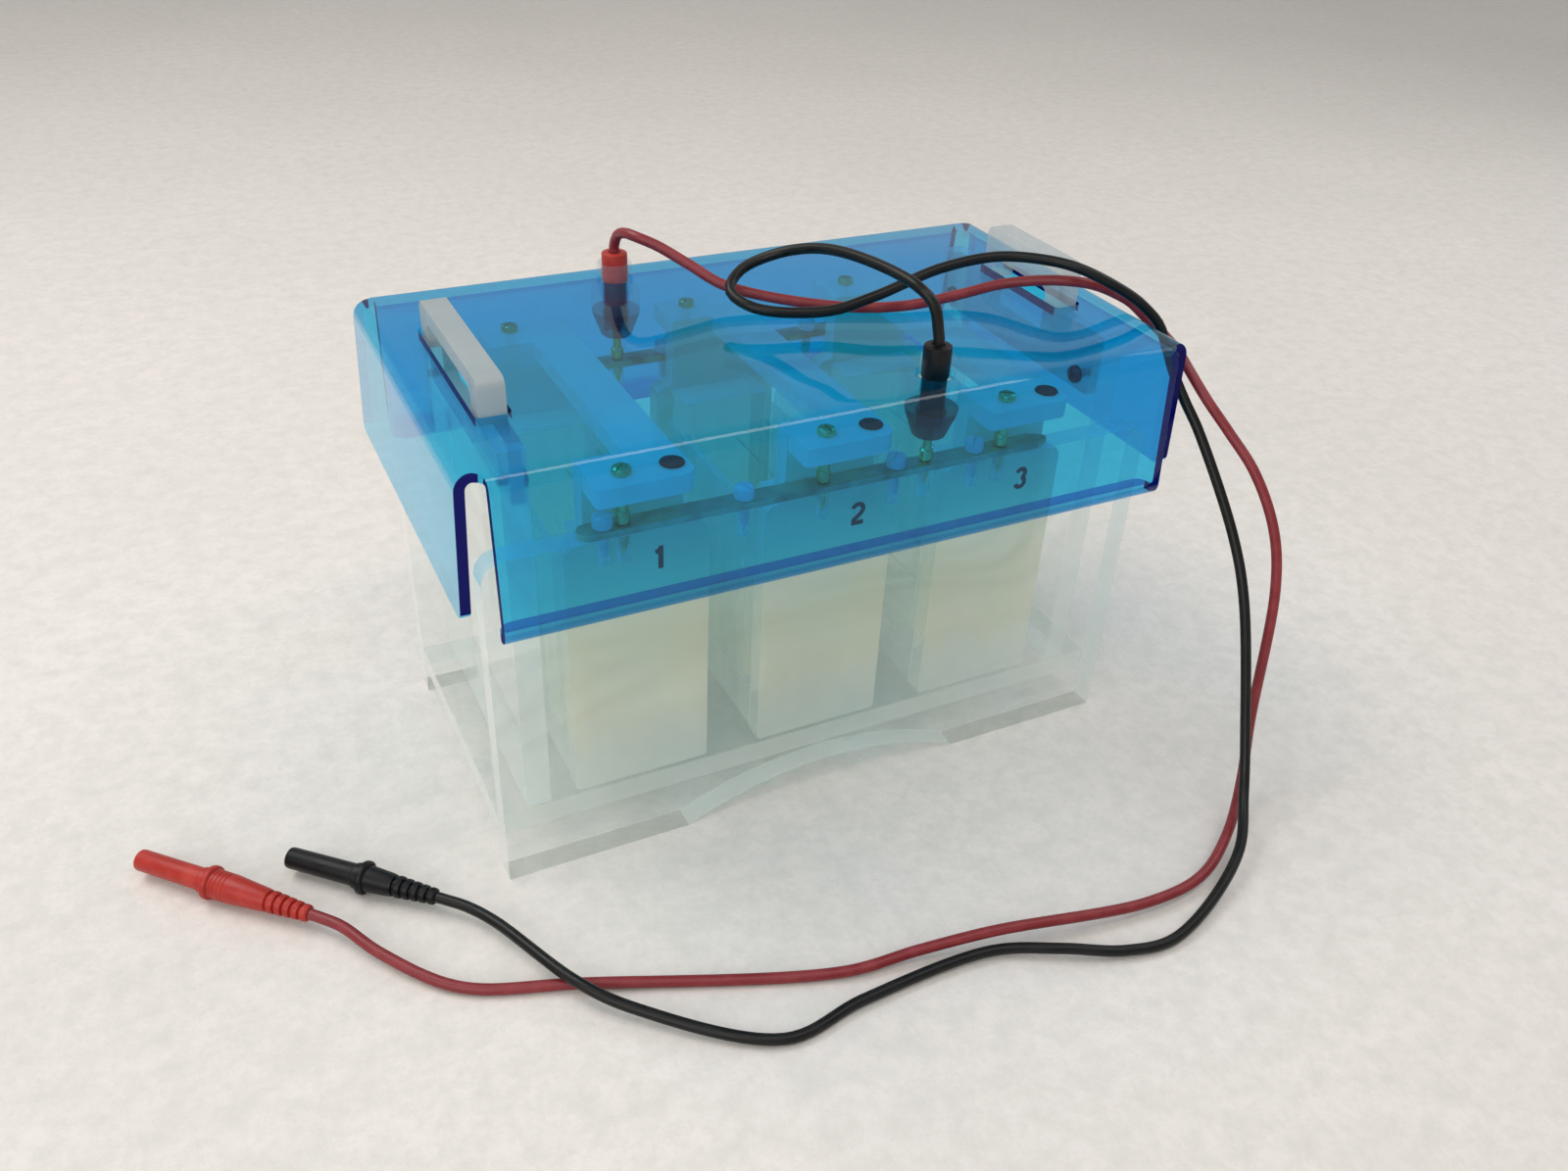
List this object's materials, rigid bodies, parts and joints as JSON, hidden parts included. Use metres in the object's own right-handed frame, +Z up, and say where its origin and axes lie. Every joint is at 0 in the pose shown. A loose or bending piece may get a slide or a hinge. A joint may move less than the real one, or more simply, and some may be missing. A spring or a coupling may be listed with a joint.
{
  "type": "gel electrophoresis tank",
  "caption": "Upright buffer tank for mini gels: clear trough, removable gel cores with bus bars, folded blue safety lid with a slot for each handle, red and black leads",
  "frame": {"origin": "middle of the tank's footprint, on the surface it stands on", "axes": "+X along the tank's length towards the narrow handle, +Y to the back (anode bar), +Z up"},
  "size_m": [0.543, 0.3545, 0.2661],
  "materials": {
    "clear_acrylic": "clear cast acrylic with a faint green tint",
    "blue_acrylic": "transparent blue acrylic, polished",
    "frosted_white": "frosted natural plastic",
    "cassette_cream": "translucent cream plastic",
    "nylon_white": "natural nylon",
    "brass": "dull plated bar",
    "gold": "gilt contact",
    "platinum": "fine bright wire",
    "black_plastic": "moulded black plastic",
    "red_plastic": "moulded red plastic",
    "red_cord": "soft red insulation, satin",
    "black_cord": "soft black insulation, satin",
    "maroon_bolt": "dark moulded head"
  },
  "bodies": {
    "tank": {"front_plate": "clear_acrylic", "back_plate": "clear_acrylic", "floor_plate": "clear_acrylic", "left_end_wall": "clear_acrylic", "right_end_wall": "clear_acrylic", "left_handle": "frosted_white", "right_handle": "frosted_white", "left_handle_bolt_1": "maroon_bolt", "left_handle_bolt_2": "maroon_bolt", "right_handle_bolt_1": "maroon_bolt", "right_handle_bolt_2": "maroon_bolt", "cathode_bus_bar": "brass", "anode_bus_bar": "brass", "cathode_bar_screw_1": "nylon_white", "cathode_bar_screw_2": "nylon_white", "cathode_bar_screw_3": "nylon_white", "cathode_bar_screw_4": "nylon_white", "anode_bar_screw_1": "nylon_white", "anode_bar_screw_2": "nylon_white"},
    "lid": {"lid_shell": "blue_acrylic", "red_lead_socket": "clear_acrylic", "red_lead_plug": "red_plastic", "red_lead_pin": "gold", "red_cord": "red_cord", "red_test_plug": "red_plastic", "black_lead_socket": "clear_acrylic", "black_lead_plug": "black_plastic", "black_lead_pin": "gold", "black_cord": "black_cord", "black_test_plug": "black_plastic"},
    "core_1": {"core_1_body": "frosted_white", "core_1_cathode_pin": "gold", "core_1_anode_pin": "gold", "core_1_polarity_dot": "black_plastic", "core_1_cathode_wire": "platinum", "core_1_anode_wire": "platinum"},
    "core_1_left_gel": {"core_1_left_cassette": "cassette_cream"},
    "core_1_right_gel": {"core_1_right_cassette": "cassette_cream"},
    "core_1_wedge": {"core_1_tension_wedge": "frosted_white"},
    "core_2": {"core_2_body": "frosted_white", "core_2_cathode_pin": "gold", "core_2_anode_pin": "gold", "core_2_polarity_dot": "black_plastic", "core_2_cathode_wire": "platinum", "core_2_anode_wire": "platinum"},
    "core_2_left_gel": {"core_2_left_cassette": "cassette_cream"},
    "core_2_right_gel": {"core_2_right_cassette": "cassette_cream"},
    "core_2_wedge": {"core_2_tension_wedge": "frosted_white"},
    "core_3": {"core_3_body": "frosted_white", "core_3_cathode_pin": "gold", "core_3_anode_pin": "gold", "core_3_polarity_dot": "black_plastic", "core_3_cathode_wire": "platinum", "core_3_anode_wire": "platinum"},
    "core_3_left_gel": {"core_3_left_cassette": "cassette_cream"},
    "core_3_right_gel": {"core_3_right_cassette": "cassette_cream"},
    "core_3_wedge": {"core_3_tension_wedge": "frosted_white"}
  },
  "joints": [
    {"name": "lid_lift", "type": "slide", "parent": "tank", "child": "lid", "axis": [0, 0, 1], "range_m": [0, 0.12]},
    {"name": "core_1_lift", "type": "slide", "parent": "tank", "child": "core_1", "axis": [0, 0, 1], "range_m": [0, 0.011]},
    {"name": "core_1_left_gel_lift", "type": "slide", "parent": "core_1", "child": "core_1_left_gel", "axis": [0, 0, 1], "range_m": [0, 0.05]},
    {"name": "core_1_right_gel_lift", "type": "slide", "parent": "core_1", "child": "core_1_right_gel", "axis": [0, 0, 1], "range_m": [0, 0.05]},
    {"name": "core_1_wedge_lift", "type": "slide", "parent": "tank", "child": "core_1_wedge", "axis": [0, 0, 1], "range_m": [0, 0.055]},
    {"name": "core_2_lift", "type": "slide", "parent": "tank", "child": "core_2", "axis": [0, 0, 1], "range_m": [0, 0.011]},
    {"name": "core_2_left_gel_lift", "type": "slide", "parent": "core_2", "child": "core_2_left_gel", "axis": [0, 0, 1], "range_m": [0, 0.05]},
    {"name": "core_2_right_gel_lift", "type": "slide", "parent": "core_2", "child": "core_2_right_gel", "axis": [0, 0, 1], "range_m": [0, 0.05]},
    {"name": "core_2_wedge_lift", "type": "slide", "parent": "tank", "child": "core_2_wedge", "axis": [0, 0, 1], "range_m": [0, 0.055]},
    {"name": "core_3_lift", "type": "slide", "parent": "tank", "child": "core_3", "axis": [0, 0, 1], "range_m": [0, 0.011]},
    {"name": "core_3_left_gel_lift", "type": "slide", "parent": "core_3", "child": "core_3_left_gel", "axis": [0, 0, 1], "range_m": [0, 0.05]},
    {"name": "core_3_right_gel_lift", "type": "slide", "parent": "core_3", "child": "core_3_right_gel", "axis": [0, 0, 1], "range_m": [0, 0.05]},
    {"name": "core_3_wedge_lift", "type": "slide", "parent": "tank", "child": "core_3_wedge", "axis": [0, 0, 1], "range_m": [0, 0.055]}
  ]
}
